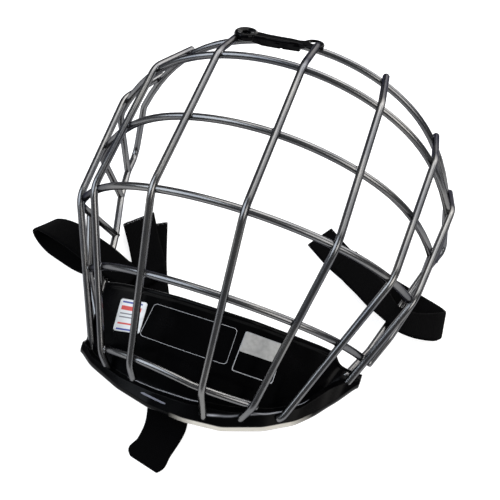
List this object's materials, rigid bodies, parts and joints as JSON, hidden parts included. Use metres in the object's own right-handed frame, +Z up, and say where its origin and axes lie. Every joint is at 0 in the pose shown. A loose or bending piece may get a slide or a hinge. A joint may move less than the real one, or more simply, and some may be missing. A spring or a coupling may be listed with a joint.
{
  "type": "hockey cage face mask",
  "caption": "Welded wire cage that guards a hockey player's face, with a chin cup, a clip on the top bar and webbing straps, lying face up.",
  "frame": {"origin": "middle of the footprint of the lying mask, on the floor", "axes": "+X to the wearer's left side as the picture shows it on the right, +Y from the chin towards the brow, +Z up from the floor, the way the face opening's back faces down"},
  "size_m": [0.2438, 0.2186, 0.1264],
  "materials": {
    "steel_wire": "satin",
    "gloss_black": "gloss",
    "webbing": "woven"
  },
  "bodies": {
    "root": {"wire_cage": "steel_wire", "chin_cup": "gloss_black", "top_clip": "gloss_black", "strap_left": "webbing", "strap_right": "webbing", "strap_tail": "webbing"}
  },
  "joints": []
}
